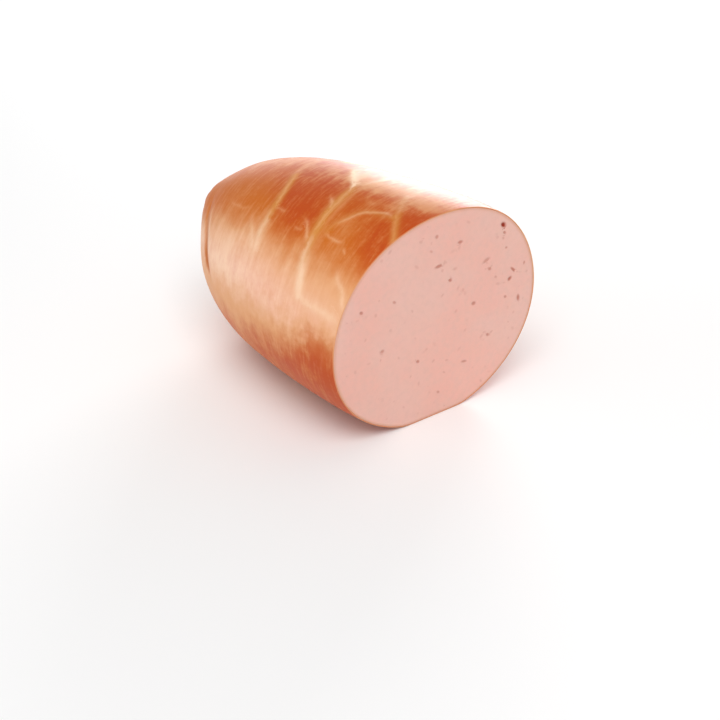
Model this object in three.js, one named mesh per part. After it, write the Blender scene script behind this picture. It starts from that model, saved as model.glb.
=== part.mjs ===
// A cut length of bologna sausage. It lies along Y on an underside that its own weight has
// pressed flat, with the cut face towards -Y and the gathered end towards +Y.
// Millimetres and degrees, +Z up, origin at the middle of the box's underside.
import * as THREE from 'three';
import { mergeVertices } from 'three/addons/utils/BufferGeometryUtils.js';

// Body, as an even barrel before it settles
const LENGTH = 170; // from the middle of the cut to the gathered end
const WIDTH = 128;
const HEIGHT = 121;
const THICKEST = 22; // distance from the cut to the thickest place
const END_HEIGHT = 66; // height of the middle of the gathered end
const UNDERSIDE = 88; // distance from the cut to where the underside starts to rise
const CUT_NARROWER = 0.02; // share of the width lost between the thickest place and the cut
const CUT_LOWER = 1.2; // fall of the top between the thickest place and the cut

// How full the far end is, seen from above, along the top and along the underside
const SIDES = { flat: 2.2, round: 1.9 };
const TOP = { flat: 2.35, round: 1.9 };
const BOTTOM = { flat: 2.4, round: 1.95 };

// The knife ran a little askew
const CUT_TURN = 0.17; // slope of the cut face across the width
const CUT_LEAN = 0.01; // slope of the cut face up the height
const CUT_REACH = 40; // the slopes have faded this far behind the cut
const RIM = 0.9; // size of the softened edge round the cut

// Where it rests
const PRESSED = 2.5;
const PRESSED_EDGE = 1.2; // half the width of the turn from flat to round

// Skin gathered at the far end
const PLEATS = 17;
const PLEAT_DEPTH = 1.3;
const PLEAT_LENGTH = 18;
const PLEATS_START = 16; // the pleats fade out this near the middle of the end
const PUCKER_DEPTH = 4;
const PUCKER_RADIUS = 7;
// Waves round the end that space the pleats unevenly and make them unevenly deep
const PLEAT_SPACING = [
  { height: 0.9, turns: 3, drift: Infinity, start: 0.4 },
  { height: 0.6, turns: 5, drift: Infinity, start: 2 },
];
const PLEAT_DEPTHS = [{ height: 0.55, turns: 2, drift: Infinity, start: 1 }];

// Marks on the skin lie along paths of [degrees round, millimetres behind the cut]. At 90
// degrees is the top, and at 180 the side towards -X.
// Fibrous veins under the skin run from the top down the side, where they widen and fade
const VEINS = [
  { height: 0.2, width: 3.2, path: [[85, 64], [92, 57], [100, 48.5], [120, 46.5], [148, 41], [158, 37]] },
  { height: 0.18, width: 3, path: [[103, 89], [111, 85], [123, 81.5], [141, 79]] },
  { height: 0.1, width: 2.4, path: [[126, 39], [119, 35], [110, 27.5], [107.5, 14]] },
  { height: 0.15, width: 2.6, path: [[92, 21], [104, 12.5], [117, 0]] },
];
// The other side has the same veins, seen in a mirror that stands along the top
const MIRROR_ANGLE = 160;
const MIRROR_SHIFT = 17;

// The deepest fold of the gathered end
const FOLD = { height: -0.5, width: 5, path: [[136, 144], [148, 139], [160, 131], [176, 124]] };

// Broad swellings and hollows of the filling, each round one place on the skin
const SWELLINGS = [
  { height: 1.9, width: 11, path: [[129, 158]] },
  { height: -0.8, width: 14, path: [[98, 149]] },
  { height: -0.8, width: 14, path: [[173, 151]] },
];

// Slow waves round and along the whole body: how many go round it, and how fast they drift
const WAVES = [
  { height: 0.3, turns: 2, drift: 31, start: -0.3 },
  { height: 0.25, turns: 3, drift: -23, start: -2.3 },
  { height: 0.3, turns: 4, drift: 27, start: -1.9 },
  { height: 0.2, turns: 5, drift: 17, start: 2.6 },
];

// Triangles
const AROUND = 84;
const RINGS = 60;
const CROWDING = 1.6; // above 1 the rings crowd towards the gathered end
const STEP = 0.05; // distance between the points that give the skin's direction
const MARK_STEPS = 16; // straight lengths in a mark's line
const SAME_POINT = 1e-3; // corners nearer to each other than this are one

const { clamp, degToRad, lerp, smoothstep } = THREE.MathUtils;

// Falls from 1 to 0 as share goes from 0 to 1, the later the larger flat is
function dome(share, { flat, round }) {
  return (1 - clamp(share, 0, 1) ** flat) ** (1 / round);
}

// Half width, top and bottom of the even barrel at a distance behind the cut
function section(along) {
  const front = clamp((THICKEST - along) / THICKEST, 0, 1) ** 2;
  const back = (along - THICKEST) / (LENGTH - THICKEST);
  const rise = (along - UNDERSIDE) / (LENGTH - UNDERSIDE);
  return {
    halfWidth: (WIDTH / 2) * (1 - CUT_NARROWER * front) * dome(back, SIDES),
    top: lerp(END_HEIGHT, HEIGHT, dome(back, TOP)) - CUT_LOWER * front,
    bottom: END_HEIGHT * (1 - dome(rise, BOTTOM)),
  };
}

// Distance of the askew cut from a straight one
function cutSlope(x, z) {
  return -CUT_TURN * x - CUT_LEAN * (z - HEIGHT / 2);
}

function barrelPoint(angle, along) {
  const { halfWidth, top, bottom } = section(along);
  const x = halfWidth * Math.cos(angle);
  const z = (top + bottom) / 2 + ((top - bottom) / 2) * Math.sin(angle);
  const slope = clamp(1 - along / CUT_REACH, 0, 1) * cutSlope(x, z);
  return new THREE.Vector3(x, along + slope, z);
}

// Outward direction of the even barrel
function barrelNormal(angle, along) {
  const turn = STEP / (WIDTH / 2);
  const round = barrelPoint(angle + turn, along).sub(barrelPoint(angle - turn, along));
  const lengthwise = barrelPoint(angle, along + STEP).sub(barrelPoint(angle, along - STEP));
  return lengthwise.cross(round).normalize();
}

// The smooth line that a mark's path draws on the even barrel
function markLine(path) {
  const corners = path.map(([degrees, along]) => new THREE.Vector3(degToRad(degrees), along, 0));
  if (corners.length === 1) return [barrelPoint(corners[0].x, corners[0].y)];
  const curve = new THREE.CatmullRomCurve3(corners);
  return curve.getPoints(MARK_STEPS).map((place) => barrelPoint(place.x, place.y));
}

function mirrored(vein) {
  const path = vein.path.map(([degrees, along]) => [MIRROR_ANGLE - degrees, along + MIRROR_SHIFT]);
  return { ...vein, path };
}

const MARKS = [...VEINS, ...VEINS.map(mirrored), FOLD, ...SWELLINGS].map((mark) => ({
  ...mark,
  line: markLine(mark.path),
}));

function distanceToLine(point, line) {
  const nearest = new THREE.Vector3();
  const distances = line.map((end, i) => {
    new THREE.Line3(line[Math.max(i - 1, 0)], end).closestPointToPoint(point, true, nearest);
    return nearest.distanceTo(point);
  });
  return Math.min(...distances);
}

// A soft ridge along a mark, or a valley where its height is negative
function markHeight(point, { height, width, line }) {
  return height * Math.exp(-((distanceToLine(point, line) / width) ** 2));
}

function sumOfWaves(waves, angle, along) {
  return waves.reduce((sum, { height, turns, drift, start }) => {
    return sum + height * Math.sin(turns * angle + along / drift + start);
  }, 0);
}

// Valleys that run out from the gathered end
function pleats(angle, along) {
  const phase = PLEATS * angle + sumOfWaves(PLEAT_SPACING, angle, along);
  const valley = ((1 + Math.cos(phase)) / 2) ** 2;
  const depth = PLEAT_DEPTH + sumOfWaves(PLEAT_DEPTHS, angle, along);
  const gathered = smoothstep(along, LENGTH - PLEAT_LENGTH, LENGTH);
  const middle = smoothstep(section(along).halfWidth, 0, PLEATS_START);
  return -depth * valley * gathered * middle;
}

// Height of the finished skin above the even barrel
function relief(angle, along) {
  const point = barrelPoint(angle, along);
  const marks = MARKS.reduce((sum, mark) => sum + markHeight(point, mark), 0);
  const pucker = PUCKER_DEPTH * Math.exp(-((section(along).halfWidth / PUCKER_RADIUS) ** 2));
  return sumOfWaves(WAVES, angle, along) + pleats(angle, along) + marks - pucker;
}

// Height above what the sausage rests on: level below PRESSED, with a soft turn upwards
function settled(z) {
  const above = z - PRESSED;
  if (above <= -PRESSED_EDGE) return 0;
  if (above >= PRESSED_EDGE) return above;
  return (above + PRESSED_EDGE) ** 2 / (4 * PRESSED_EDGE);
}

function skinPoint(angle, along) {
  const inside = clamp(along, 0, LENGTH - STEP);
  const point = barrelPoint(angle, inside);
  point.addScaledVector(barrelNormal(angle, Math.max(inside, STEP)), relief(angle, inside));
  point.z = settled(point.z);
  return point;
}

// The edge of the cut face: the skin's first ring, drawn in by the rim and laid in the cut's plane
function cutEdgePoint(angle) {
  const point = skinPoint(angle, 0);
  const middle = HEIGHT / 2 - PRESSED;
  const inward = 1 - RIM / point.distanceTo(new THREE.Vector3(0, point.y, middle));
  point.x *= inward;
  point.z = lerp(middle, point.z, inward);
  point.y = cutSlope(point.x, point.z + PRESSED) - RIM;
  return point;
}

function cutMiddle() {
  return new THREE.Vector3(0, cutSlope(0, HEIGHT / 2) - RIM, HEIGHT / 2 - PRESSED);
}

function endMiddle() {
  return new THREE.Vector3(0, LENGTH - PUCKER_DEPTH, END_HEIGHT - PRESSED);
}

// A sphere's net of triangles: its first pole is the middle of the cut face, its first ring the
// edge of the face, its other rings go back along the skin, and its last pole is the gathered end
function bodyGeometry() {
  const net = new THREE.SphereGeometry(1, AROUND, RINGS);
  const place = net.getAttribute('position');
  const share = net.getAttribute('uv');
  for (let i = 0; i < place.count; i += 1) {
    const ring = Math.round((1 - share.getY(i)) * RINGS);
    const angle = share.getX(i) * 2 * Math.PI;
    const way = (ring - 2) / (RINGS - 2);
    let point;
    if (ring === 0) point = cutMiddle();
    else if (ring === 1) point = cutEdgePoint(angle);
    else if (ring === RINGS) point = endMiddle();
    else point = skinPoint(angle, LENGTH * (1 - (1 - way) ** CROWDING));
    place.setXYZ(i, point.x, point.y, point.z);
  }
  net.deleteAttribute('normal');
  net.deleteAttribute('uv');
  return mergeVertices(net, SAME_POINT);
}

function sausage() {
  const smokedSkin = new THREE.MeshStandardMaterial({ color: '#cb7f4a', roughness: 0.38, metalness: 0 });
  const mesh = new THREE.Mesh(bodyGeometry(), smokedSkin);
  mesh.name = 'sausage';
  mesh.geometry.computeVertexNormals();
  mesh.geometry.computeBoundingBox();
  const { min, max } = mesh.geometry.boundingBox;
  mesh.position.set(-(min.x + max.x) / 2, -(min.y + max.y) / 2, -min.z);
  return mesh;
}

const model = new THREE.Group();
model.add(sausage());

export default model;
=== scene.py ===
# A cut length of smoked bologna sausage: a thin smoked skin, gathered at the far end, round the
# meat that shows at the cut. Both pieces are worked out on the solid's own barrel, in
# millimetres, and are put in the frame in metres at the end.
import math

import bpy
from mathutils import Matrix, Vector


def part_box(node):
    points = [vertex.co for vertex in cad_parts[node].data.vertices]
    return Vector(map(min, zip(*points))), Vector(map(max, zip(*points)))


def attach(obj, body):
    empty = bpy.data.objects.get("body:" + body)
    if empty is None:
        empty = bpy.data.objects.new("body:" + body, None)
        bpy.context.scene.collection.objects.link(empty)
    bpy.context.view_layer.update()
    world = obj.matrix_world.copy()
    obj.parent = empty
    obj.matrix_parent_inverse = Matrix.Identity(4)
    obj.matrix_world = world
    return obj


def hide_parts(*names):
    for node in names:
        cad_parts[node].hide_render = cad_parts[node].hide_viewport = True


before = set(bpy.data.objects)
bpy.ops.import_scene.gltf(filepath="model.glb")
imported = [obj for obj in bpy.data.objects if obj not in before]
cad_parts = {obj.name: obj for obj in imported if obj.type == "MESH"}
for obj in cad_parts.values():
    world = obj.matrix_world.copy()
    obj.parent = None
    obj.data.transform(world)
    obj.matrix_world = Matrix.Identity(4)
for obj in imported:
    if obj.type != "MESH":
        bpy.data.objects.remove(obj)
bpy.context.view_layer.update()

MM = 0.001
TURN = 2 * math.pi

# The body, as an even barrel before it settles. These repeat the solid's driving dimensions
LENGTH = 170.0  # from the middle of the cut to the gathered end
WIDTH = 128.0
HEIGHT = 121.0
THICKEST = 22  # distance from the cut to the thickest place
END_HEIGHT = 66  # height of the middle of the gathered end
UNDERSIDE = 88  # distance from the cut to where the underside starts to rise
CUT_NARROWER = 0.02
CUT_LOWER = 1.2
SIDES = (2.2, 1.9)  # how full the far end is, seen from above: how late it bends, how round it is
TOP = (2.35, 1.9)
BOTTOM = (2.4, 1.95)
CUT_TURN = 0.17  # slope of the cut face across the width
CUT_LEAN = 0.01  # slope of the cut face up the height
CUT_REACH = 40  # the slopes have faded this far behind the cut
RIM = 0.9  # distance from the skin's first full ring forwards to the cut
RIM_FORWARD = 0.74  # how far the skin's rim reaches forwards
PRESSED = 2.5
PRESSED_EDGE = 1.2
PLEATS = 17
PLEAT_DEPTH = 1.3
PLEAT_LENGTH = 18
PLEATS_START = 16
PUCKER_DEPTH = 4.0
PUCKER_RADIUS = 7

# Waves round the body: [height, turns, millimetres behind the cut for each radian, start]
SKIN_WAVES = [[0.3, 2, 31, -0.3], [0.25, 3, -23, -2.3], [0.3, 4, 27, -1.9], [0.2, 5, 17, 2.6]]
PLEAT_SPACING = [[0.9, 3, math.inf, 0.4], [0.6, 5, math.inf, 2]]
PLEAT_DEPTHS = [[0.55, 2, math.inf, 1]]
# Broad swellings and hollows: [height, width, degrees round, millimetres behind the cut]
SWELLINGS = [[1.9, 11, 129, 158], [-0.8, 14, 98, 149], [-0.8, 14, 173, 151]]

# Lines on the skin go through places of [degrees round, millimetres behind the cut]. At 90
# degrees is the top, and at 180 the side towards -X.
# Broad veins, which stand out of the skin: height, width and line
BROAD_VEINS = [
    (0.2, 3.2, [[85, 64], [92, 57], [100, 48.5], [120, 46.5], [148, 41], [158, 37]]),
    (0.18, 3.0, [[103, 89], [111, 85], [123, 81.5], [141, 79]]),
    (0.1, 2.4, [[126, 39], [119, 35], [110, 27.5], [107.5, 14]]),
    (0.15, 2.6, [[92, 21], [104, 12.5], [117, 0]]),
]
# The fold near the gathered end, and the narrow crease in it
FOLD = (-0.5, 5.0, [[136, 144], [148, 139], [160, 131], [176, 124]])
CREASE = (
    -0.5,
    2.0,
    [[128, 146], [138, 144], [147.5, 141], [158, 133], [166, 129], [171, 126], [175, 122], [180, 117.5]],
)
FOLD_ENDS = (124, 186)  # degrees round where the fold and its crease begin and end
FOLD_FADES = (0.45, 0.35)  # radians over which they fade in and out
# The other side has the same veins, seen in a mirror that stands along the top
MIRROR_ANGLE = 160
MIRROR_SHIFT = 17

# Threads of pale fibre in and beside the veins: half width, paleness and line
THREADS = [
    (1.8, 1.0, [[84, 67], [88, 62.5], [92, 57.5], [96, 53], [100, 49], [105, 47]]),
    (1.5, 0.35, [[98, 49], [107, 47.5], [113, 47], [120, 46.5], [128, 46], [137, 45.5]]),
    (1.6, 0.25, [[100, 43.5], [108, 43], [116, 43], [124, 42.5], [130, 42.5]]),
    (2.6, 0.5, [[128, 46], [134, 45], [140, 44], [147, 41], [153, 38.5], [159, 35.5]]),
    (1.8, 0.45, [[76, 45], [84, 45], [90, 46], [97, 47.5]]),
    (1.3, 0.45, [[117, 47], [113, 49.5], [110.5, 52.5], [109, 55]]),
    (1.5, 0.42, [[136, 46.5], [131.5, 49.5], [128.5, 52], [126.5, 54.5], [125, 57.5]]),
    (1.1, 0.28, [[130.5, 52], [131.5, 55.5], [130.5, 59.5]]),
    (1.6, 0.35, [[100, 91], [103, 88.5], [108, 85.5], [113, 83.5], [120, 81.5], [127, 80.5], [133, 80]]),
    (1.2, 0.25, [[101, 83], [104, 84], [108, 85]]),
    (3.0, 0.45, [[124, 81], [130, 80.5], [136, 79.5], [142, 79], [149, 78.5], [154, 78]]),
    (1.2, 0.3, [[125, 71], [126, 74], [126, 77], [127, 81]]),
    (2.4, 0.35, [[151, 77.5], [147, 81], [142, 85.5], [138, 89], [134.5, 92.5]]),
    (1.3, 0.42, [[107.5, 10.5], [106.5, 18], [108, 22.5], [110.5, 27.5], [114, 30.5], [119, 34], [125, 39]]),
    (1.2, 0.38, [[128.5, 24], [128.5, 29], [128, 34], [127, 40]]),
    (1.0, 0.35, [[132.5, 17], [130.5, 21.5]]),
    (1.4, 0.25, [[95, 18.5], [100, 15], [104, 12.5], [106.5, 10.5], [111, 6.5], [117, 0], [121, -4]]),
    (2.0, 0.35, [[139.5, 17], [142.5, 12.5], [147, 6.5], [152, 1.5], [157, -2.5]]),
    (1.4, 0.25, [[130, 97], [131.5, 105], [131.5, 113], [130, 121]]),
]
# Threads that only one side has: a pale strip beside the fold, partly painted highlight on the fold's edge,
# and a thread low down behind the cut
ONE_SIDE_THREADS_AND_SHEEN = [
    # pale strip beside the fold: partly painted highlight on its edge
    (2.6, 0.45, [[134, 139], [143, 136], [152, 131], [162, 124.5], [168, 121]]),
    (3.2, 0.4, [[156, 37.5], [159, 33], [160, 26], [159.5, 17], [160, 8], [161.5, 2.5], [163, -2]]),
]

# How the lines are drawn
LINE_POINTS = 60  # points of a line before it is laid on the body
RIDGE_STEP = 1.5  # distance between the points of a ridge's line once it is laid there
THREAD_STEP = 0.4
THREAD_SWAY = 4  # width of the band in which a thread wanders
SWAY_SCALE = 0.1
THREAD_HEIGHT = 0.06
THREAD_FULL = (0.25, 0.7)  # a thread is at full strength between these shares of its length
THREAD_END_PALENESS = 0.2  # share of its paleness that is left at its ends
# Where a thread stops: its colour at so many half widths beside it and millimetres past its end,
# and its height past its end
COLOUR_BESIDE = (1.3, 1.9)
COLOUR_PAST_END = (0.4, 1.6)
HEIGHT_PAST_END = (0.3, 1.2)

# The wall of the skin, which is thin, and thicker where it is gathered
WALL = 0.7
GATHERED_WALL = 7.0
GATHERED_FROM = 95
RIM_BEND = 0.35  # the smaller, the squarer the bend of the rim
MEAT_IN_WALL = 0.75  # share of the wall that is outside the meat

# The net of the skin: rings inside, round the rim and outside
AROUND = 400
INNER_RINGS = 18
RIM_RINGS = 8
OUTER_RINGS = 214
CROWDING = 1.35  # above 1 the rings crowd towards the gathered end
# The net of the meat
MEAT_AROUND = 400
FACE_RINGS = 110
SIDE_RINGS = 14

FACE_SUNK = 0.28  # distance of the meat behind the solid's cut face
FACE_WAVES = 0.06
RIPPLE_SCALE = 0.06

STEP = 0.2  # distance between the points that give the skin's direction
SAME_POINT = 1e-3  # corners nearer to each other than this are joined


class Value:
    """An output of a node. An operator on it adds the Math node that works out the result."""

    def __init__(self, maker, socket):
        self.maker = maker
        self.socket = socket

    def output(self, name):
        return Value(self.maker, self.socket.node.outputs[name])

    def __add__(self, other):
        return self.maker.maths("ADD", self, other)

    def __radd__(self, other):
        return self.maker.maths("ADD", other, self)

    def __sub__(self, other):
        return self.maker.maths("SUBTRACT", self, other)

    def __rsub__(self, other):
        return self.maker.maths("SUBTRACT", other, self)

    def __mul__(self, other):
        return self.maker.maths("MULTIPLY", self, other)

    def __rmul__(self, other):
        return self.maker.maths("MULTIPLY", other, self)

    def __truediv__(self, other):
        return self.maker.maths("DIVIDE", self, other)

    def __pow__(self, other):
        return self.maker.maths("POWER", self, other)

    def __neg__(self):
        return self.maker.maths("MULTIPLY", self, -1)

    def __abs__(self):
        return self.maker.maths("ABSOLUTE", self)


class Maker:
    """Adds nodes to one tree."""

    def __init__(self, tree):
        self.tree = tree

    def add(self, kind, settings=None, sockets=None, output=0):
        """A node of this kind, with its settings and its sockets' values or links. Gives one output."""
        node = self.tree.nodes.new(kind)
        for name, setting in (settings or {}).items():
            if name == "points":
                set_points(node.mapping, setting)
            else:
                setattr(node, name, setting)
        for name, value in (sockets or {}).items():
            for part in value if isinstance(value, list) else [value]:
                if isinstance(part, Value):
                    self.tree.links.new(part.socket, node.inputs[name])
                else:
                    node.inputs[name].default_value = part
        return Value(self, node.outputs[output]) if node.outputs else None

    def maths(self, operation, *values):
        return self.add("ShaderNodeMath", {"operation": operation}, dict(enumerate(values)))

    def vector_maths(self, operation, *vectors, output=0):
        return self.add("ShaderNodeVectorMath", {"operation": operation}, dict(enumerate(vectors)), output)

    def sin(self, angle):
        return self.maths("SINE", angle)

    def cos(self, angle):
        return self.maths("COSINE", angle)

    def clamp(self, value):
        return self.add("ShaderNodeClamp", {}, {"Value": value})

    def ease(self, value, low, high):
        """Goes from 0 at low to 1 at high, with soft ends."""
        sockets = {"Value": value, "From Min": low, "From Max": high}
        return self.add("ShaderNodeMapRange", {"interpolation_type": "SMOOTHSTEP"}, sockets)

    def fall(self, value, low, high):
        """Goes from 1 at low to 0 at high, with soft ends."""
        return 1 - self.ease(value, low, high)

    def bell(self, distance, width):
        """Falls from 1 at no distance towards 0, past 1/e at the width."""
        return self.maths("EXPONENT", -((distance / width) ** 2))

    def vector(self, x, y, z):
        return self.add("ShaderNodeCombineXYZ", {}, {"X": x, "Y": y, "Z": z})

    def parts(self, vector):
        split = self.add("ShaderNodeSeparateXYZ", {}, {"Vector": vector})
        return split, split.output("Y"), split.output("Z")

    def scaled(self, vector, scale):
        return self.add("ShaderNodeVectorMath", {"operation": "SCALE"}, {"Vector": vector, "Scale": scale})

    def mix_vector(self, share, first, second):
        # the node has sockets for each kind of value, and the numbered ones here are for vectors
        sockets = {"Factor": share, 4: first, 5: second}
        return self.add("ShaderNodeMix", {"data_type": "VECTOR"}, sockets, 1)


def set_points(mapping, points):
    """Points of a float curve, which has two to start with."""
    curve = mapping.curves[0]
    while len(curve.points) < len(points):
        curve.points.new(1, 1)
    for point, place in zip(curve.points, points):
        point.location = place
    mapping.update()


FLOAT = "NodeSocketFloat"
VECTOR = "NodeSocketVector"
GEOMETRY = "NodeSocketGeometry"
MATERIAL = "NodeSocketMaterial"
INTEGER = "NodeSocketInt"


def new_group(name, inputs, outputs):
    """A geometry node group with named inputs and outputs. Gives its maker and its inputs."""
    tree = bpy.data.node_groups.new(name, "GeometryNodeTree")
    for label, kind in inputs.items():
        tree.interface.new_socket(label, in_out="INPUT", socket_type=kind)
    for label, kind in outputs.items():
        tree.interface.new_socket(label, in_out="OUTPUT", socket_type=kind)
    maker = Maker(tree)
    start = maker.add("NodeGroupInput")
    return maker, {label: start.output(label) for label in inputs}


def finish_group(maker, results):
    maker.add("NodeGroupOutput", {"is_active_output": True}, results)
    return maker.tree


SIZES = {"Length": LENGTH, "Width": WIDTH, "Height": HEIGHT, "Pressed": PRESSED}


def size_inputs():
    return {name: FLOAT for name in SIZES}


def sizes_of(given):
    return {name: given[name] for name in SIZES}


# The even barrel


def dome(maker, share, fullness):
    """Falls from 1 to 0 as share goes from 0 to 1."""
    late, roundness = fullness
    return maker.maths("POWER", 1 - maker.clamp(share) ** late, 1 / roundness)


def cut_slope(x, z, height):
    """Distance of the askew cut from a straight one."""
    return -CUT_TURN * x - CUT_LEAN * (z - height / 2)


def barrel_group():
    """Place on the even barrel of an angle round and a distance behind the cut."""
    inputs = {"Angle": FLOAT, "Along": FLOAT, **size_inputs()}
    maker, given = new_group("Barrel", inputs, {"Place": VECTOR})
    angle, along = given["Angle"], given["Along"]
    length, width, height = given["Length"], given["Width"], given["Height"]
    front = maker.clamp((THICKEST - along) / THICKEST) ** 2
    back = (along - THICKEST) / (length - THICKEST)
    rise = (along - UNDERSIDE) / (length - UNDERSIDE)
    half_width = width / 2 * (1 - CUT_NARROWER * front) * dome(maker, back, SIDES)
    top = END_HEIGHT + (height - END_HEIGHT) * dome(maker, back, TOP) - CUT_LOWER * front
    bottom = END_HEIGHT * (1 - dome(maker, rise, BOTTOM))
    x = half_width * maker.cos(angle)
    z = (top + bottom) / 2 + (top - bottom) / 2 * maker.sin(angle)
    slope = maker.clamp(1 - along / CUT_REACH) * cut_slope(x, z, height)
    return finish_group(maker, {"Place": maker.vector(x, along + slope, z)})


def placed(maker, group, angle, along, sizes):
    """What the barrel's or the body's group gives for an angle round and a distance behind the cut."""
    sockets = {"Angle": angle, "Along": along, **sizes}
    return maker.add("GeometryNodeGroup", {"node_tree": group}, sockets)


def sum_of_waves(maker, waves, angle, along):
    total = 0
    for height, turns, drift, start in waves:
        total = total + height * maker.sin(turns * angle + along / drift + start)
    return total


def body_group(barrel):
    """The filled body: its surface with waves and swellings, its outward direction, its barrel."""
    inputs = {"Angle": FLOAT, "Along": FLOAT, **size_inputs()}
    maker, given = new_group("Body", inputs, {"Surface": VECTOR, "Outward": VECTOR, "Barrel": VECTOR})
    sizes = sizes_of(given)
    angle = given["Angle"]
    inside = maker.maths("MINIMUM", maker.maths("MAXIMUM", given["Along"], 0), given["Length"] - STEP / 4)
    steady = maker.maths("MAXIMUM", inside, STEP)
    turn = STEP / (WIDTH / 2)
    round_it = maker.vector_maths(
        "SUBTRACT",
        placed(maker, barrel, angle + turn, steady, sizes),
        placed(maker, barrel, angle - turn, steady, sizes),
    )
    along_it = maker.vector_maths(
        "SUBTRACT",
        placed(maker, barrel, angle, steady + STEP, sizes),
        placed(maker, barrel, angle, steady - STEP, sizes),
    )
    outward = maker.vector_maths("NORMALIZE", maker.vector_maths("CROSS_PRODUCT", along_it, round_it))
    place = placed(maker, barrel, angle, inside, sizes)
    height = sum_of_waves(maker, SKIN_WAVES, angle, inside)
    for swell, width, degrees, distance in SWELLINGS:
        middle = placed(maker, barrel, math.radians(degrees), distance, sizes)
        far = maker.vector_maths("DISTANCE", place, middle, output="Value")
        height = height + swell * maker.bell(far, width)
    surface = maker.vector_maths("ADD", place, maker.scaled(outward, height))
    return finish_group(maker, {"Surface": surface, "Outward": outward, "Barrel": place})


def settled(maker, place, pressed):
    """Lets the body down by the depth it is pressed, with its underside level."""
    x, y, z = maker.parts(place)
    above = z - pressed
    turn = (maker.maths("MAXIMUM", above + PRESSED_EDGE, 0)) ** 2 / (4 * PRESSED_EDGE)
    clear = maker.maths("GREATER_THAN", above, PRESSED_EDGE)
    return maker.vector(x, y, clear * above + (1 - clear) * turn)


def ring_net(maker, around, rings):
    """A net of rings from one pole to the other. Gives it with each corner's angle and ring."""
    sockets = {"Size X": 1, "Size Y": 1, "Vertices X": around + 1, "Vertices Y": rings + 1}
    net = maker.add("GeometryNodeMeshGrid", {}, sockets)
    u, v, _ = maker.parts(maker.add("GeometryNodeInputPosition"))
    ring = maker.maths("ROUND", (v + 0.5) * rings)
    return net, (0.5 - u) * TURN, ring


def stored(maker, geometry, name, kind, value):
    settings = {"data_type": kind, "domain": "POINT"}
    return maker.add(
        "GeometryNodeStoreNamedAttribute", settings, {"Geometry": geometry, "Name": name, "Value": value}
    )


def named(maker, name, kind):
    return maker.add("GeometryNodeInputNamedAttribute", {"data_type": kind}, {"Name": name})


def sampled(maker, geometry, value, index, kind):
    settings = {"data_type": kind, "domain": "POINT"}
    sockets = {"Geometry": geometry, "Value": value, "Index": index}
    return maker.add("GeometryNodeSampleIndex", settings, sockets)


def nearest_point(maker, geometry, place):
    """The point of a geometry that is nearest to a place: its number and where it is."""
    sockets = {"Geometry": geometry, "Sample Position": place}
    index = maker.add("GeometryNodeSampleNearest", {}, sockets)
    where = maker.add("GeometryNodeInputPosition")
    return index, sampled(maker, geometry, where, index, "FLOAT_VECTOR")


def facts_at(maker, geometry, names, index):
    """The numbers that a point of a geometry has under these names."""
    facts = {}
    for name in names:
        facts[name] = sampled(maker, geometry, named(maker, name, "FLOAT"), index, "FLOAT")
    return facts


def way_between(maker, ring, first, last):
    return maker.clamp((ring - first) / (last - first))


def spread(way):
    """Distance behind the cut of a share of the rings."""
    return LENGTH * (1 - (1 - way) ** CROWDING)


def wall_at(maker, along, wall):
    return wall + GATHERED_WALL * maker.ease(along, GATHERED_FROM, LENGTH)


def closed_net(maker, net, place, pole_ring, pole):
    """Puts the net's corners in place, its end rings on their poles, and joins the seam."""
    at_pole = maker.mix_vector(pole_ring, place, pole)
    moved = maker.add("GeometryNodeSetPosition", {}, {"Geometry": net, "Position": at_pole})
    return maker.add("GeometryNodeMergeByDistance", {}, {"Geometry": moved, "Distance": SAME_POINT})


def finished(maker, geometry, material):
    """The end of a piece's tree."""
    smooth = maker.add("GeometryNodeSetShadeSmooth", {}, {"Geometry": geometry})
    solid = maker.add("GeometryNodeRealizeInstances", {}, {"Geometry": smooth})
    return maker.add("GeometryNodeSetMaterial", {}, {"Geometry": solid, "Material": material})


# The skin


def lines_on_body(maker, drawn, barrel, sizes, apart, sway):
    """The drawn lines as smooth curves laid on the barrel, with points this far apart."""
    curve = maker.add("GeometryNodeMeshToCurve", {}, {"Mesh": drawn})
    smooth = maker.add("GeometryNodeCurveSplineType", {"spline_type": "CATMULL_ROM"}, {"Curve": curve})
    sockets = {"Curve": smooth, "Count": LINE_POINTS}
    fine = maker.add("GeometryNodeResampleCurve", {"mode": "COUNT"}, sockets)
    degrees, along, _ = maker.parts(maker.add("GeometryNodeInputPosition"))
    place = placed(maker, barrel, degrees * (TURN / 360), along, sizes)
    laid = maker.add("GeometryNodeSetPosition", {}, {"Geometry": fine, "Position": place})
    even = maker.add("GeometryNodeResampleCurve", {"mode": "LENGTH"}, {"Curve": laid, "Length": apart})
    even = stored(maker, even, "ahead", "FLOAT_VECTOR", maker.add("GeometryNodeInputTangent"))
    share = maker.add("GeometryNodeSplineParameter")
    full_from, full_to = THREAD_FULL
    strength = maker.ease(share, 0, full_from) * maker.fall(share, full_to, 1)
    even = stored(maker, even, "strength", "FLOAT", strength)
    wander = maker.add("ShaderNodeTexNoise", {}, {"Scale": SWAY_SCALE, "Detail": 2}, "Color")
    offset = maker.scaled(maker.vector_maths("SUBTRACT", wander, (0.5, 0.5, 0.5)), sway)
    even = maker.add("GeometryNodeSetPosition", {}, {"Geometry": even, "Offset": offset})
    return maker.add("GeometryNodeCurveToMesh", {}, {"Curve": even})


def only(maker, geometry, name, number):
    """The part of a geometry whose numbered attribute is this number."""
    settings = {"data_type": "FLOAT", "operation": "EQUAL"}
    sockets = {"A": named(maker, name, "FLOAT"), "B": float(number), "Epsilon": 0.1}
    chosen = maker.add("FunctionNodeCompare", settings, sockets)
    return maker.add("GeometryNodeSeparateGeometry", {}, {"Geometry": geometry, "Selection": chosen})


def line_height(maker, line, place, width):
    settings = {"target_element": "EDGES"}
    near = maker.add("GeometryNodeProximity", settings, {0: line, "Sample Position": place}, "Distance")
    return maker.bell(near, width)


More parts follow.
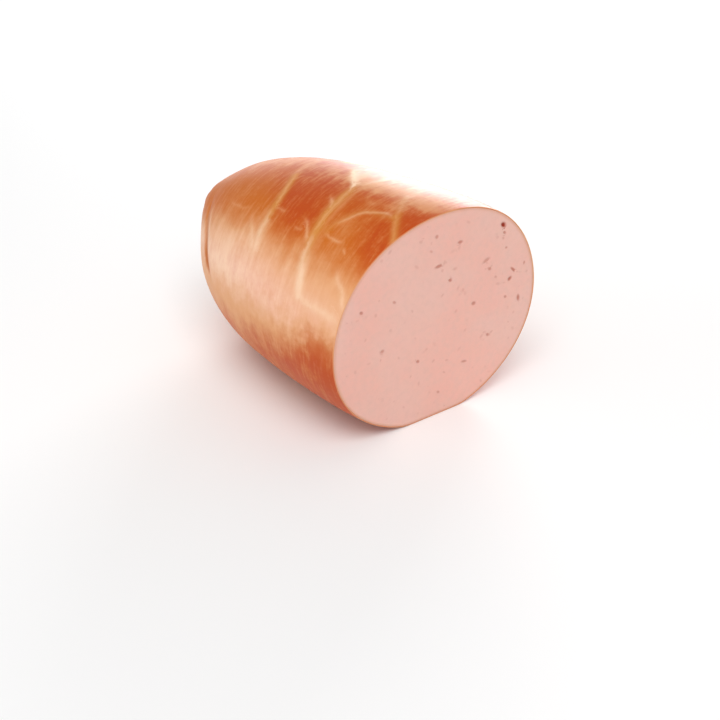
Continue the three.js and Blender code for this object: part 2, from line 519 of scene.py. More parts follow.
def ridges_at(maker, lines, ridges, angle, spot):
    """Height of the ridges at a spot, with how much of a vein and of the fold is there."""
    first, last = [math.radians(degrees) for degrees in FOLD_ENDS]
    fade_in, fade_out = FOLD_FADES
    fade = maker.ease(angle, first, first + fade_in) * maker.fall(angle, last - fade_out, last)
    highest = max(lift for lift, _, _ in ridges)
    hollows = sum(lift < 0 for lift, _, _ in ridges)
    height = 0
    vein = 0
    fold = 0
    for number, (lift, width, _) in enumerate(ridges):
        shape = line_height(maker, only(maker, lines, "line", number), spot, width)
        if lift > 0:
            vein = vein + shape * (lift / highest)
        else:
            shape = shape * fade
            fold = fold + shape / hollows
        height = height + lift * shape
    return height, vein, fold


def thread_at(maker, threads, outward, spot):
    """The thread nearest to a spot: how far beside it the spot is, in its half widths, how far past
    its end, and how pale the thread is there."""
    index, nearest = nearest_point(maker, threads, spot)
    ahead = sampled(maker, threads, named(maker, "ahead", "FLOAT_VECTOR"), index, "FLOAT_VECTOR")
    facts = facts_at(maker, threads, ["width", "paleness", "strength"], index)
    offset = maker.vector_maths("SUBTRACT", spot, nearest)
    sideways = maker.vector_maths("CROSS_PRODUCT", outward, ahead)
    side = maker.vector_maths("DOT_PRODUCT", offset, sideways, output="Value") / facts["width"]
    gap = maker.vector_maths("LENGTH", offset, output="Value")
    beyond = gap - abs(side) * facts["width"]
    strength = THREAD_END_PALENESS + (1 - THREAD_END_PALENESS) * facts["strength"]
    paleness = facts["paleness"] * strength
    paleness = paleness * maker.fall(abs(side), *COLOUR_BESIDE) * maker.fall(beyond, *COLOUR_PAST_END)
    return side, beyond, paleness


def pleats(maker, angle, along, half_width):
    """Valleys that run out from the gathered end."""
    phase = PLEATS * angle + sum_of_waves(maker, PLEAT_SPACING, angle, along)
    valley = ((1 + maker.cos(phase)) / 2) ** 2
    depth = PLEAT_DEPTH + sum_of_waves(maker, PLEAT_DEPTHS, angle, along)
    gathered = maker.ease(along, LENGTH - PLEAT_LENGTH, LENGTH)
    return valley * depth * gathered * maker.ease(half_width, 0, PLEATS_START)


def skin_tree(barrel, body, ridges):
    inputs = {"Lines": GEOMETRY, **size_inputs(), "Wall": FLOAT, "Material": MATERIAL}
    maker, given = new_group("Smoked skin", inputs, {"Skin": GEOMETRY})
    sizes = sizes_of(given)
    rim_ring = INNER_RINGS + RIM_RINGS
    last_ring = rim_ring + OUTER_RINGS
    net, angle, ring = ring_net(maker, AROUND, last_ring)
    inner = 1 - way_between(maker, ring, 0, INNER_RINGS)
    rim = way_between(maker, ring, INNER_RINGS, rim_ring)
    outer = way_between(maker, ring, rim_ring, last_ring)
    along = spread(inner) + spread(outer)
    here = placed(maker, body, angle, along, sizes)
    outward = here.output("Outward")
    spot = here.output("Barrel")

    drawn = only(maker, given["Lines"], "thread", 0)
    lines = lines_on_body(maker, drawn, barrel, sizes, RIDGE_STEP, 0)
    height, vein, fold = ridges_at(maker, lines, ridges, angle, spot)
    drawn = only(maker, given["Lines"], "thread", 1)
    threads = lines_on_body(maker, drawn, barrel, sizes, THREAD_STEP, THREAD_SWAY)
    side, beyond, paleness = thread_at(maker, threads, outward, spot)
    thread = maker.bell(side, 1) * maker.fall(beyond, *HEIGHT_PAST_END) * paleness

    back = (along - THICKEST) / (given["Length"] - THICKEST)
    half_width = given["Width"] / 2 * dome(maker, back, SIDES)
    pleat = pleats(maker, angle, along, half_width)
    pucker = maker.bell(half_width, PUCKER_RADIUS)
    detail = height - pleat - PUCKER_DEPTH * pucker + THREAD_HEIGHT * thread
    depth = wall_at(maker, along, given["Wall"]) * (0.5 + 0.5 * maker.cos(rim * math.pi))
    forward = RIM_FORWARD * maker.maths("MAXIMUM", maker.sin(rim * math.pi), 0) ** RIM_BEND
    surface = maker.vector_maths("ADD", here, maker.scaled(outward, detail * rim))
    sunk = maker.scaled(outward, -depth)
    place = maker.vector_maths("ADD", settled(maker, surface, given["Pressed"]), sunk)
    place = maker.vector_maths("SUBTRACT", place, maker.vector(0, forward, 0))

    pole_ring = maker.maths("COMPARE", ring, 0, 0.5) + maker.maths("COMPARE", ring, last_ring, 0.5)
    pole_depth = (1 - rim) * (GATHERED_WALL - PUCKER_DEPTH + given["Wall"])
    pole = maker.vector(0, LENGTH - PUCKER_DEPTH - pole_depth, END_HEIGHT - PRESSED)

    girth = maker.vector(maker.cos(angle), maker.sin(angle), along)
    net = stored(maker, net, "girth", "FLOAT_VECTOR", girth)
    net = stored(maker, net, "thread", "FLOAT_VECTOR", maker.vector(side, beyond, paleness))
    for name, value in [("vein", vein), ("fold", fold), ("pleat", pleat), ("outside", rim)]:
        net = stored(maker, net, name, "FLOAT", value)
    skin = closed_net(maker, net, place, pole_ring, pole)
    return finish_group(maker, {"Skin": finished(maker, skin, given["Material"])})


# The meat

# Holes and specks in the cut face: [x, z, half length, half width, degrees turned, darkness, depth]
SPECKS = [
    [38, 100, 1.8, 1.2, -45, 1, 0.8],
    [39, 95.5, 1.1, 0.7, -45, 0.6, 0.2],
    [38.5, 92.5, 0.9, 0.6, -45, 0.3, 0.1],
    [41, 86.5, 0.8, 0.6, -35, 0.45, 0.1],
    [-3.5, 105.5, 1, 0.9, -75, 0.5, 0.2],
    [11, 98.5, 1.4, 0.8, -5, 0.6, 0.2],
    [-1.5, 89, 2.2, 0.9, 5, 0.6, 0.2],
    [6, 79, 1.2, 0.8, -40, 0.65, 0.3],
    [28.5, 83, 2.2, 1.2, 20, 0.4, 0.15],
    [31, 77.5, 1.1, 0.8, -40, 0.5, 0.1],
    [47, 72, 2.5, 0.7, -45, 0.7, 0.2],
    [45, 67.5, 1.3, 1, 40, 0.75, 0.3],
    [54, 74, 1, 0.6, -90, 0.5, 0.1],
    [52, 54, 1.9, 0.9, -80, 0.7, 0.2],
    [43, 57.5, 1, 0.7, -40, 0.5, 0.1],
    [22, 60.5, 1.3, 1, -20, 0.6, 0.2],
    [35.5, 71.5, 1, 0.6, -40, 0.3, 0.1],
    [-6.5, 98.5, 1, 0.6, -40, 0.3, 0.1],
    [-46.5, 78, 1.1, 0.8, -45, 0.6, 0.2],
    [-27.5, 77.5, 1.1, 0.7, -40, 0.45, 0.1],
    [-34, 52, 1.1, 1, 35, 0.5, 0.2],
    [-12, 38, 1.1, 0.8, -45, 0.6, 0.2],
    [18, 27, 1.8, 0.7, -15, 0.5, 0.2],
    [33, 38, 1.2, 0.8, -40, 0.55, 0.2],
    [2, 14, 1.1, 0.7, -45, 0.4, 0.1],
]
SPECK_FACTS = ["long", "wide", "turn", "dark", "deep"]
# Small faint specks, scattered over the rest
FINE_SPECKS = 0.009  # for each square millimetre
FINE_SPECKS_INSET = 4  # distance that they keep from the face's edge
FINE_SPECK_SIZES = (0.35, 0.8)
FINE_SPECK_STRETCH = (1, 2.2)
FINE_SPECK_DARKNESS = (0.05, 0.24)
FINE_SPECK_DEPTH = 0.1  # for each millimetre of its size
DISC_CORNERS = 64
SPECK_SEED = 5
PIT_EDGE = (0.2, 1.15)  # a speck's pit rises between these shares of its size


def turned(maker, dx, dz, turn, long, wide):
    """The offset from a speck, along and across it, in its own half length and half width."""
    along_it = (dx * maker.cos(turn) + dz * maker.sin(turn)) / long
    across_it = (dz * maker.cos(turn) - dx * maker.sin(turn)) / wide
    return along_it, across_it


def random_value(maker, low, high, seed):
    # the node has sockets of the same names for vectors, and the second ones are the numbers
    sockets = {2: low, 3: high, "Seed": seed}
    return maker.add("FunctionNodeRandomValue", {"data_type": "FLOAT"}, sockets, 1)


def scattered_specks(maker, density, seed):
    """Points for the small faint specks, with each one's facts."""
    sockets = {"Vertices": DISC_CORNERS, "Radius": 1}
    disc = maker.add("GeometryNodeMeshCircle", {"fill_type": "NGON"}, sockets)
    sockets = {
        "Geometry": disc,
        "Translation": (0, 0, HEIGHT / 2 - PRESSED),
        "Rotation": (math.pi / 2, 0, 0),
        "Scale": (WIDTH / 2 - FINE_SPECKS_INSET, HEIGHT / 2 - FINE_SPECKS_INSET, 1),
    }
    face = maker.add("GeometryNodeTransform", {}, sockets)
    sockets = {"Mesh": face, "Density": density, "Seed": seed}
    points = maker.add("GeometryNodeDistributePointsOnFaces", {}, sockets)
    size = random_value(maker, *FINE_SPECK_SIZES, seed + 1)
    facts = {
        "wide": size,
        "long": size * random_value(maker, *FINE_SPECK_STRETCH, seed + 2),
        "turn": random_value(maker, 0, math.pi, seed + 3),
        "dark": random_value(maker, *FINE_SPECK_DARKNESS, seed + 4),
        "deep": size * FINE_SPECK_DEPTH,
    }
    for name, value in facts.items():
        points = stored(maker, points, name, "FLOAT", value)
    return points


def speck_at(maker, given, on_face):
    """The speck nearest to a place on the face: the place in the speck's sizes, and its facts."""
    specks = maker.add("GeometryNodeMeshToPoints", {}, {"Mesh": given["Specks"]})
    scattered = scattered_specks(maker, given["Fine specks"], given["Seed"])
    specks = maker.add("GeometryNodeJoinGeometry", {}, {"Geometry": [specks, scattered]})
    index, nearest = nearest_point(maker, specks, on_face)
    facts = facts_at(maker, specks, SPECK_FACTS, index)
    dx, _, dz = maker.parts(maker.vector_maths("SUBTRACT", on_face, nearest))
    speck_x, speck_z = turned(maker, dx, dz, facts["turn"], facts["long"], facts["wide"])
    return speck_x, speck_z, facts


def meat_tree(body):
    inputs = {
        "Specks": GEOMETRY,
        **size_inputs(),
        "Wall": FLOAT,
        "Fine specks": FLOAT,
        "Seed": INTEGER,
        "Material": MATERIAL,
    }
    maker, given = new_group("Meat", inputs, {"Meat": GEOMETRY})
    last_ring = FACE_RINGS + SIDE_RINGS
    net, angle, ring = ring_net(maker, MEAT_AROUND, last_ring)
    across = way_between(maker, ring, 0, FACE_RINGS)
    along = spread(way_between(maker, ring, FACE_RINGS, last_ring))
    here = placed(maker, body, angle, along, sizes_of(given))
    sunk = maker.scaled(here.output("Outward"), -MEAT_IN_WALL * wall_at(maker, along, given["Wall"]))
    place = maker.vector_maths("ADD", settled(maker, here, given["Pressed"]), sunk)
    x, y, z = maker.parts(place)
    middle = given["Height"] / 2 - given["Pressed"]
    face_x = x * across
    face_z = middle + (z - middle) * across

    on_face = maker.vector(face_x, 0, face_z)
    speck_x, speck_z, facts = speck_at(maker, given, on_face)
    reach = maker.maths("SQRT", speck_x ** 2 + speck_z ** 2)
    pit = facts["deep"] * maker.fall(reach, *PIT_EDGE)
    sockets = {"Vector": on_face, "Scale": RIPPLE_SCALE, "Detail": 2}
    ripple = (maker.add("ShaderNodeTexNoise", {}, sockets) - 0.5) * (2 * FACE_WAVES)
    slope = cut_slope(face_x, face_z + given["Pressed"], given["Height"])
    front = slope - (RIM - FACE_SUNK) + ripple + pit
    is_face = maker.maths("LESS_THAN", ring, FACE_RINGS + 0.5)
    place = maker.vector(face_x, is_face * front + (1 - is_face) * y, face_z)

    radius = maker.vector_maths("LENGTH", maker.vector(x, 0, z - middle), output="Value")
    net = stored(maker, net, "speck", "FLOAT_VECTOR", maker.vector(speck_x, speck_z, reach))
    net = stored(maker, net, "dark", "FLOAT", facts["dark"])
    net = stored(maker, net, "inset", "FLOAT", (1 - across) * radius)
    pole_ring = maker.maths("COMPARE", ring, last_ring, 0.5)
    pole = maker.vector(0, LENGTH - GATHERED_WALL, END_HEIGHT - PRESSED)
    meat = closed_net(maker, net, place, pole_ring, pole)
    return finish_group(maker, {"Meat": finished(maker, meat, given["Material"])})


# What is drawn on the pieces goes into their trees as the corners and edges of a plain mesh


def drawn_mesh(name, lines, facts):
    """A mesh of lines of corners. All corners of a line get the number that each fact has for it."""
    corners = [corner for line in lines for corner in line]
    edges = []
    start = 0
    for line in lines:
        edges += [(start + i, start + i + 1) for i in range(len(line) - 1)]
        start += len(line)
    mesh = bpy.data.meshes.new(name)
    mesh.from_pydata(corners, edges, [])
    for label, numbers in facts.items():
        attribute = mesh.attributes.new(label, "FLOAT", "POINT")
        each = [number for number, line in zip(numbers, lines) for _ in line]
        attribute.data.foreach_set("value", each)
    return mesh


def with_mirrored(lines):
    """Lines and their mirror images. Each line is two numbers and a path."""
    images = []
    for first, second, path in lines:
        image = [[MIRROR_ANGLE - degrees, along + MIRROR_SHIFT] for degrees, along in path]
        images.append((first, second, image))
    return lines + images


def drawn_lines():
    """All the lines on the skin: the veins, the fold and its crease as ridges, and the threads."""
    ridges = with_mirrored(BROAD_VEINS) + [FOLD, CREASE]
    threads = with_mirrored(THREADS) + ONE_SIDE_THREADS_AND_SHEEN
    facts = {
        "line": list(range(len(ridges))) + [-1] * len(threads),
        "thread": [0] * len(ridges) + [1] * len(threads),
        "width": [0] * len(ridges) + [width for width, _, _ in threads],
        "paleness": [0] * len(ridges) + [pale for _, pale, _ in threads],
    }
    lines = [[(degrees, along, 0) for degrees, along in path] for _, _, path in ridges + threads]
    return ridges, drawn_mesh("Lines on the skin", lines, facts)


def drawn_specks():
    lines = []
    rows = []
    for x, z, long, wide, degrees, dark, deep in SPECKS:
        lines.append([(x, 0, z)])
        rows.append([long, wide, math.radians(degrees), dark, deep])
    facts = dict(zip(SPECK_FACTS, zip(*rows)))
    return drawn_mesh("Specks of the meat", lines, facts)


def made_piece(name, drawn, tree, values):
    """Runs a tree on a drawn mesh and keeps the result as a plain mesh."""
    piece = bpy.data.objects.new(name, drawn)
    bpy.context.scene.collection.objects.link(piece)
    shape = piece.modifiers.new("Shape", "NODES")
    shape.node_group = tree
    for item in tree.interface.items_tree:
        if item.in_out == "INPUT" and item.name in values:
            shape[item.identifier] = values[item.name]
    graph = bpy.context.evaluated_depsgraph_get()
    result = bpy.data.meshes.new_from_object(
        piece.evaluated_get(graph), preserve_all_data_layers=True, depsgraph=graph
    )
    piece.modifiers.remove(shape)
    piece.data = result
    result.name = name
    bpy.data.meshes.remove(drawn)
    return piece


def put_in_frame(pieces, skin):
    """From millimetres to metres, with the skin's box in the middle and on the floor of the solid's."""
    places = [corner.co for corner in skin.data.vertices]
    low = Vector([min(place[axis] for place in places) for axis in range(3)])
    high = Vector([max(place[axis] for place in places) for axis in range(3)])
    solid_low, solid_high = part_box("sausage")
    scale = min(MM, *[(solid_high - solid_low)[axis] / (high - low)[axis] for axis in range(3)])
    shift = (solid_low + solid_high) / 2 - (low + high) / 2 * scale
    shift.z = solid_low.z - low.z * scale
    for piece in pieces:
        piece.data.transform(Matrix.Translation(shift) @ Matrix.Scale(scale, 4))


# Finishes


def colour(red, green, blue):
    """A colour as it looks on a screen, from 0 to 255, as the light that it gives back."""
    def light(level):
        level /= 255
        return level / 12.92 if level <= 0.04045 else ((level + 0.055) / 1.055) ** 2.4

    return (light(red), light(green), light(blue), 1)


def new_material(name):
    material = bpy.data.materials.new(name)
    material.use_nodes = True
    material.node_tree.nodes.clear()
    return material, Maker(material.node_tree)


def attribute(maker, name, output):
    return maker.add("ShaderNodeAttribute", {"attribute_name": name}, {}, output)


def place_in_mm(maker):
    return maker.scaled(maker.add("ShaderNodeTexCoord", {}, {}, "Object"), 1 / MM)


def patterns_at(maker, place, patterns):
    """Noise patterns by name."""
    found = {}
    for name, (stretch, scale, detail, rough) in patterns.items():
        stretched = maker.vector_maths("MULTIPLY", place, stretch)
        sockets = {"Vector": stretched, "Scale": scale, "Detail": detail, "Roughness": rough}
        found[name] = maker.add("ShaderNodeTexNoise", {}, sockets)
    return found


def unevenness(patterns, weights):
    """A sum of patterns by their weights, which lies evenly round 0."""
    total = 0
    for name, weight in weights.items():
        total = total + (patterns[name] - 0.5) * weight
    return total


def mix(maker, share, first, second):
    """The first colour where share is 0 and the second where it is 1."""
    # the numbered sockets and output are the node's ones for colours
    sockets = {"Factor": share, 6: first, 7: second}
    return maker.add("ShaderNodeMix", {"data_type": "RGBA"}, sockets, 2)


def layered(maker, tint, layers):
    """Lays colours over the first one, each with the share that it covers."""
    for share, over in layers:
        tint = mix(maker, share, tint, over)
    return tint


def curve(maker, value, points):
    return maker.add("ShaderNodeFloatCurve", {"points": points}, {"Value": value})


def give_finish(maker, tint, height, sockets):
    """Ends the material of a food, whose bumps have a height in millimetres."""
    bump = maker.add("ShaderNodeBump", {}, {"Strength": 1, "Distance": MM, "Height": height})
    sockets = {"Base Color": tint, "Normal": bump, "IOR": FOOD_IOR, **sockets}
    finish = maker.add("ShaderNodeBsdfPrincipled", {}, sockets)
    maker.add("ShaderNodeOutputMaterial", {}, {"Surface": finish})


FOOD_IOR = 1.4
# How a pattern is drawn out: not at all, or into streaks that run round the body
EVEN = (1, 1, 1)
ROUND = (0.12, 1, 0.12)

# Colours of the skin
PALE_SKIN = colour(250, 208, 178)
PINK_SKIN = colour(238, 178, 156)
WARM_SKIN = colour(225, 160, 107)
SMOKED_SKIN = colour(201, 103, 14)
DARK_SKIN = colour(190, 73, 0)
GOLD_VEIN = colour(208, 138, 56)
SMOKED_THREAD = colour(232, 164, 104)
PALE_THREAD = colour(248, 212, 178)
# Painted shade in the fold's crease, which also darkens the valleys of the pleats
FOLD_SHADE_TAN = colour(202, 130, 84)
FOLD_SHADE_BROWN = colour(188, 98, 10)
CUT_EDGE = colour(230, 162, 116)

# Patterns in the skin: how each is drawn out, its scale for each millimetre, detail and roughness
SKIN_PATTERNS = {
    "fibres": (ROUND, 1.1, 3, 0.6),
    "streaks": (ROUND, 0.5, 2, 0.5),
    "bands": (ROUND, 0.2, 3, 0.55),
    "grain": (EVEN, 0.5, 3, 0.6),
    "blotches": (EVEN, 0.11, 4, 0.6),
    "clouds": (EVEN, 0.03, 2, 0.5),
}
# The weights of the patterns in the broad and the fine unevenness of the colours, and in the
# ragged sides of the threads
BROAD = {"clouds": 1, "blotches": 1, "bands": 0.8}
FINE = {"fibres": 0.7, "streaks": 1, "grain": 0.6}
RAGGED = {"streaks": 0.4, "grain": 0.9}
# Core and halo of a thread's colour: width, in its half widths, and strength
THREAD_CORE = (0.55, 0.6)
THREAD_HALO = (1.1, 0.5)

# The smoke stain, by the share of the length from the cut to the gathered end. Ways down are
# shares of the half turn from the top to the underside
STAIN_EDGE = [[0, 0.275], [0.15, 0.28], [0.4, 0.28], [0.5, 0.275], [0.62, 0.285], [0.75, 0.31], [1, 0.4]]
STAIN_FADES = (-0.08, 0.06)  # a stain fades from this way above its edge to this way below it
# How far below the stain the skin is warm
WARM_REACH = [[0, 0.4], [0.2, 0.3], [0.4, 0.2], [0.7, 0.21], [1, 0.2]]
WARM_ABOVE = 0.04  # the warmth begins to fade this way above the stain's edge
# How much of the stain is missing along the top: a paler top, partly the skin's own and partly painted sheen
# of the highlight
CROWN_SHEEN_PALENESS = [[0, 0.6], [0.07, 0.75], [0.16, 0.65], [0.27, 0.9], [0.36, 0.85], [0.5, 0.5], [1, 0.45]]
CROWN_SHEEN_FADES = (0, 0.09)
# How far down the stain has darker patches, and how dark they are
DARK_EDGE = [
    [0, 0.24], [0.1, 0.2], [0.16, 0.17], [0.25, 0.17], [0.31, 0.22], [0.45, 0.22], [0.52, 0.15], [1, 0.1],
]
DARK_FADES = (-0.06, 0.06)
DARKNESS = [
    [0, 1], [0.08, 0.85], [0.13, 0.6], [0.25, 0.5], [0.31, 0.85], [0.45, 0.95], [0.52, 0.5],
    [0.75, 0.1], [1, 0.1],
]
# Where the painted shade of the underside begins: a darker orange-brown band along the underside
UNDER_SHADE_EDGE = [[0, 0.46], [0.1, 0.47], [0.3, 0.52], [0.7, 0.56], [1, 0.5]]
UNDER_SHADE_FADES = (-0.05, 0.11)
LOW_SHADE_WARMTH = (0.39, 0.52)  # painted shade: the skin grows warm again towards the underside between these ways down
FOLD_SHADE_BROWNS = (0.36, 0.46)  # the painted shade in the fold turns from tan to brown between these ways down
WANDERING = 0.06  # how far the edges wander


def smoke_stain(maker, share, down, broad, fine):
    """How much stain the skin has from the top down, paler along the top partly as painted sheen, how warm
    below that, and how dark the stain is.
    """
    from_edge = down - (broad + fine * 0.3) * WANDERING - curve(maker, share, STAIN_EDGE)
    # a paler top: partly painted sheen of the highlight along the top
    crown_sheen = maker.fall(down + broad * 0.15 + fine * 0.02, *CROWN_SHEEN_FADES)
    stain = maker.fall(from_edge, *STAIN_FADES) * (1 - crown_sheen * curve(maker, share, CROWN_SHEEN_PALENESS))
    stain = stain * maker.clamp(0.95 + (broad + fine * 0.7) * 0.4)
    warm = maker.fall((from_edge + WARM_ABOVE) / curve(maker, share, WARM_REACH), 0, 1)
    fading = maker.fall(down - broad * WANDERING - curve(maker, share, DARK_EDGE), *DARK_FADES)
    dark = fading * maker.clamp(curve(maker, share, DARKNESS) + broad * 0.5 + fine * 0.7)
    return stain, warm, dark


def underside_shade(maker, share, down, patterns, uneven):
    # painted shade: a darker orange-brown band along the underside
    wander = (patterns["clouds"] + patterns["blotches"] - 1) * 0.1
    from_edge = down + wander - curve(maker, share, UNDER_SHADE_EDGE)
    return maker.ease(from_edge, *UNDER_SHADE_FADES) * maker.clamp(0.95 + uneven * 0.5)


def thread_colour(maker, side, beyond, paleness, patterns):
    """How much of a thread's colour shows: a core and a wider halo with ragged sides."""
    ragged = side + unevenness(patterns, RAGGED)
    shown = 0
    for width, strength in (THREAD_CORE, THREAD_HALO):
        shown = shown + maker.bell(ragged, width) * strength
    near = maker.fall(beyond, 0.3, 1.6)
    return maker.clamp(shown * near * paleness * (0.55 + patterns["grain"] * 0.9))


def fold_shade_layers(maker, fold, fine, down, stain):
    """Painted shade of the fold: its darker sides, and its crease, which is weaker on the smoke stain."""
    low = maker.ease(down, *FOLD_SHADE_BROWNS)
    sides = maker.ease(fold + fine * 0.15, 0.1, 0.5) * (0.35 + low * 0.35)
    crease = maker.ease(fold + fine * 0.4 + low * 0.2, 0.35, 1) * (0.85 - stain * 0.7)
    return [(sides, SMOKED_SKIN), (crease, mix(maker, low, FOLD_SHADE_TAN, FOLD_SHADE_BROWN))]


def skin_material():
    material, maker = new_material("Smoked skin")
    patterns = patterns_at(maker, place_in_mm(maker), SKIN_PATTERNS)
    broad = unevenness(patterns, BROAD)
    fine = unevenness(patterns, FINE)
    uneven = broad + fine * 0.7

    cosine, sine, along = maker.parts(attribute(maker, "girth", "Vector"))
    down = abs(maker.maths("ARCTAN2", -cosine, sine)) / math.pi
    share = along / LENGTH
    stain, warm, dark = smoke_stain(maker, share, down, broad, fine)
    # painted shade of the underside, darkest near the cut, added to the smoke stain
    under_shade = underside_shade(maker, share, down, patterns, uneven)
    stain_and_shade = maker.clamp(stain + under_shade)
    under_shade_dark = maker.clamp(1 - share * 1.3 + uneven * 1.2)
    # painted shade: warmer towards the underside
    low_shade_warmth = maker.ease(down + (patterns["blotches"] - 0.5) * 0.1, *LOW_SHADE_WARMTH)

    side, beyond, paleness = maker.parts(attribute(maker, "thread", "Vector"))
    thread = thread_colour(maker, side, beyond, paleness, patterns)
    smoky = maker.clamp(stain * (1.2 - paleness))
    vein = maker.clamp(attribute(maker, "vein", "Fac") ** 1.5 * (0.6 + patterns["grain"]))
    fold = attribute(maker, "fold", "Fac")
    pleat = maker.ease(attribute(maker, "pleat", "Fac"), 0.1, 1.3)
    rim = maker.fall(attribute(maker, "outside", "Fac"), 0.75, 1)
    layers = [
        (maker.clamp(0.7 - share * 0.6 + uneven * 1.2), PINK_SKIN),
        # warmth below the stain, and painted shade warming towards the underside
        (maker.clamp(warm + low_shade_warmth), WARM_SKIN),
        (vein * 0.6, PALE_THREAD),
        # the smoke stain, together with the painted shade of the underside
        (stain_and_shade, SMOKED_SKIN),
        # dark patches of the stain, and the painted shade of the underside, darkest near the cut
        (maker.clamp(stain * dark + under_shade * under_shade_dark), DARK_SKIN),
        (maker.clamp(fine * -0.5) * stain_and_shade, WARM_SKIN),
        (vein * stain * 0.85, GOLD_VEIN),
        (thread, mix(maker, smoky, PALE_THREAD, SMOKED_THREAD)),
        # painted shade in the fold and its crease
        *fold_shade_layers(maker, fold, fine, down, stain),
        # painted shade in the valleys of the pleats
        (pleat * 0.5, FOLD_SHADE_BROWN),
        (rim * 0.7, CUT_EDGE),
    ]
    height = patterns["fibres"] * 0.06 + patterns["bands"] * 0.08 + patterns["grain"] * 0.06 + thread * 0.05
    sockets = {
        "Roughness": 0.52 + fine * 0.15,
        "Specular IOR Level": 0.3,
        "Coat Weight": 0.22 * maker.fall(fold, 0.2, 0.6),
        "Coat Roughness": 0.36,
        "Subsurface Weight": 0.05,
        "Subsurface Radius": (1, 0.4, 0.2),
        "Subsurface Scale": 2 * MM,
    }
    give_finish(maker, layered(maker, PALE_SKIN, layers), height, sockets)
    return material


# Colours of the meat
MEAT_PINK = colour(240, 191, 177)
MEAT_GREY = colour(228, 184, 171)
MEAT_ROSE = colour(243, 186, 171)
MEAT_EDGE = colour(226, 160, 124)
SPECK_RED = colour(182, 88, 62)
# dark red of the deepest speck's hole, partly painted shade inside the hole
HOLE_SHADE_RED = colour(158, 44, 14)

MEAT_PATTERNS = {
    "clouds": (EVEN, 0.03, 3, 0.5),
    "mottle": (EVEN, 0.35, 3, 0.6),
    "paste": (EVEN, 1.4, 3, 0.7),
}
EDGE_RING = (0.3, 1.8)  # the darker ring fades between these distances from the face's edge


def meat_material():
    material, maker = new_material("Bologna meat")
    patterns = patterns_at(maker, place_in_mm(maker), MEAT_PATTERNS)
    mottle, paste = patterns["mottle"], patterns["paste"]

    speck_x, speck_z, reach = maker.parts(attribute(maker, "speck", "Vector"))
    ragged = maker.maths("SQRT", speck_x ** 2 + speck_z ** 2) + (paste - 0.5) * 0.6
    near = maker.fall(reach, 1.8, 2.8)
    speck = maker.fall(ragged, 0.4, 1.6) * near * attribute(maker, "dark", "Fac")
    ring = maker.fall(attribute(maker, "inset", "Fac"), *EDGE_RING)
    layers = [
        (maker.ease(patterns["clouds"], 0.35, 0.65), MEAT_ROSE),
        (maker.ease(mottle, 0.35, 0.75) * 0.35, MEAT_GREY),
        (maker.ease(paste, 0.55, 0.8) * 0.15, MEAT_EDGE),
        (ring * 0.5, MEAT_EDGE),
        (speck, SPECK_RED),
        # dark centre of the hole: partly its own dark red, partly painted shade
        (maker.ease(speck, 0.7, 0.95), HOLE_SHADE_RED),
    ]
    height = mottle * 0.08 + paste * 0.05 - speck * 0.15
    sockets = {
        "Roughness": 0.48 + (mottle - 0.5) * 0.2,
        "Subsurface Weight": 0.2,
        "Subsurface Radius": (1, 0.4, 0.25),
        "Subsurface Scale": 3 * MM,
    }
    give_finish(maker, layered(maker, MEAT_PINK, layers), height, sockets)
    return material


# The studio

TARGET = Vector((-0.0078, -0.0314, 0.0164))  # what the middle of the picture looks at
CAMERA_AZIMUTH = -44.6
CAMERA_ELEVATION = 32.6
CAMERA_DISTANCE = 0.6434
LENS = 60
SENSOR = 36


def direction(azimuth, elevation):
    """Towards an azimuth, of which 0 is -Y and 90 is +X, and an elevation, both in degrees."""
    turn, rise = math.radians(azimuth), math.radians(elevation)
    return Vector((math.sin(turn) * math.cos(rise), -math.cos(turn) * math.cos(rise), math.sin(rise)))


def aimed(place, target):
    """The turn of a camera or light at a place that faces the target."""
    return (target - place).to_track_quat("-Z", "Y").to_euler()


def make_camera():
    lens = bpy.data.cameras.new("Camera")
    lens.lens = LENS
    lens.sensor_width = SENSOR
    lens.sensor_fit = "HORIZONTAL"
    camera = bpy.data.objects.new("Camera", lens)
    camera.location = TARGET + direction(CAMERA_AZIMUTH, CAMERA_ELEVATION) * CAMERA_DISTANCE
    camera.rotation_euler = aimed(camera.location, TARGET)
    bpy.context.scene.collection.objects.link(camera)
    bpy.context.scene.camera = camera


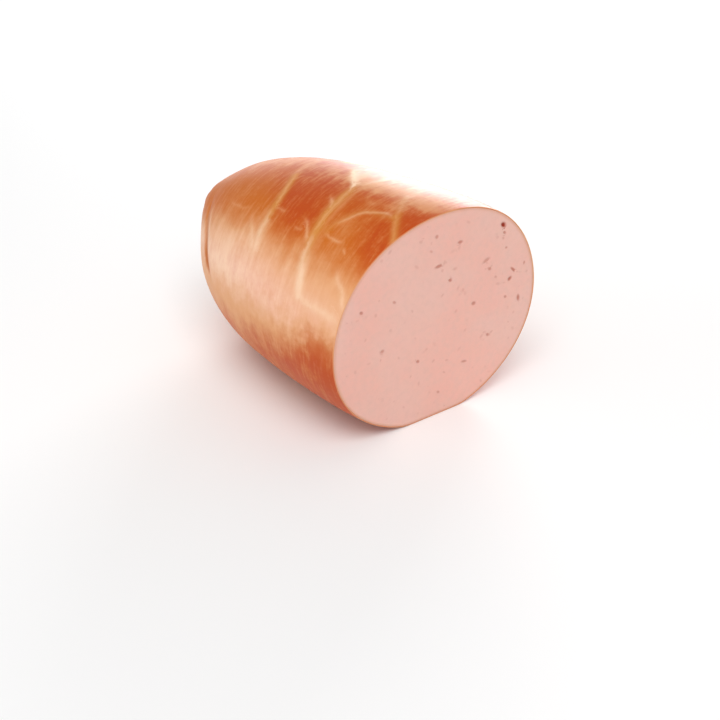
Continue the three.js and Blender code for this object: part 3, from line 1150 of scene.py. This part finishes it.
# Lights: name, azimuth, elevation, distance, width, height, power in watts
LIGHTS = [
    ("Key", -43, 58, 1.6, 1.2, 0.9, 14.8),
    ("Side", -120, 12, 1.6, 1.0, 0.5, 4),
    ("Back", 118, 14, 1.2, 0.6, 0.5, 10.5),
    ("Horizon", 142, 9, 1.6, 1.0, 0.4, 4.4),
]
LIGHTS_AIM = Vector((0, 0, 0.05))
FLOOR_SIZE = 60
FLOOR_WHITE = (0.94, 0.94, 0.94, 1)
SKY_WHITE = (1, 1, 1, 1)
SKY_STRENGTH = 0.42


def make_lights():
    for name, azimuth, elevation, distance, width, height, power in LIGHTS:
        light = bpy.data.lights.new(name, "AREA")
        light.shape = "RECTANGLE"
        light.size = width
        light.size_y = height
        light.energy = power
        lamp = bpy.data.objects.new(name, light)
        lamp.location = direction(azimuth, elevation) * distance
        lamp.rotation_euler = aimed(lamp.location, LIGHTS_AIM)
        lamp.visible_camera = False
        bpy.context.scene.collection.objects.link(lamp)


def make_sky():
    world = bpy.data.worlds.new("Studio")
    world.use_nodes = True
    world.node_tree.nodes.clear()
    maker = Maker(world.node_tree)
    sky = maker.add("ShaderNodeBackground", {}, {"Color": SKY_WHITE, "Strength": SKY_STRENGTH})
    maker.add("ShaderNodeOutputWorld", {}, {"Surface": sky})
    bpy.context.scene.world = world


def make_floor():
    mesh = bpy.data.meshes.new("Floor")
    half = FLOOR_SIZE / 2
    corners = [(-half, -half, 0), (half, -half, 0), (half, half, 0), (-half, half, 0)]
    mesh.from_pydata(corners, [], [(0, 1, 2, 3)])
    floor = bpy.data.objects.new("Floor", mesh)
    bpy.context.scene.collection.objects.link(floor)
    material, maker = new_material("Floor")
    finish = maker.add("ShaderNodeBsdfDiffuse", {}, {"Color": FLOOR_WHITE})
    maker.add("ShaderNodeOutputMaterial", {}, {"Surface": finish})
    mesh.materials.append(material)


bpy.context.scene.view_settings.view_transform = "Standard"
make_camera()
make_lights()
make_sky()
make_floor()

barrel = barrel_group()
body = body_group(barrel)
ridges, lines = drawn_lines()
skin = made_piece(
    "smoked_skin",
    lines,
    skin_tree(barrel, body, ridges),
    {**SIZES, "Wall": WALL, "Material": skin_material()},
)
meat = made_piece(
    "meat",
    drawn_specks(),
    meat_tree(body),
    {
        **SIZES,
        "Wall": WALL,
        "Fine specks": FINE_SPECKS,
        "Seed": SPECK_SEED,
        "Material": meat_material(),
    },
)
put_in_frame([skin, meat], skin)

for piece, slot in [(skin, "smoked_skin"), (meat, "meat")]:
    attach(piece, "root")
    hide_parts("sausage")
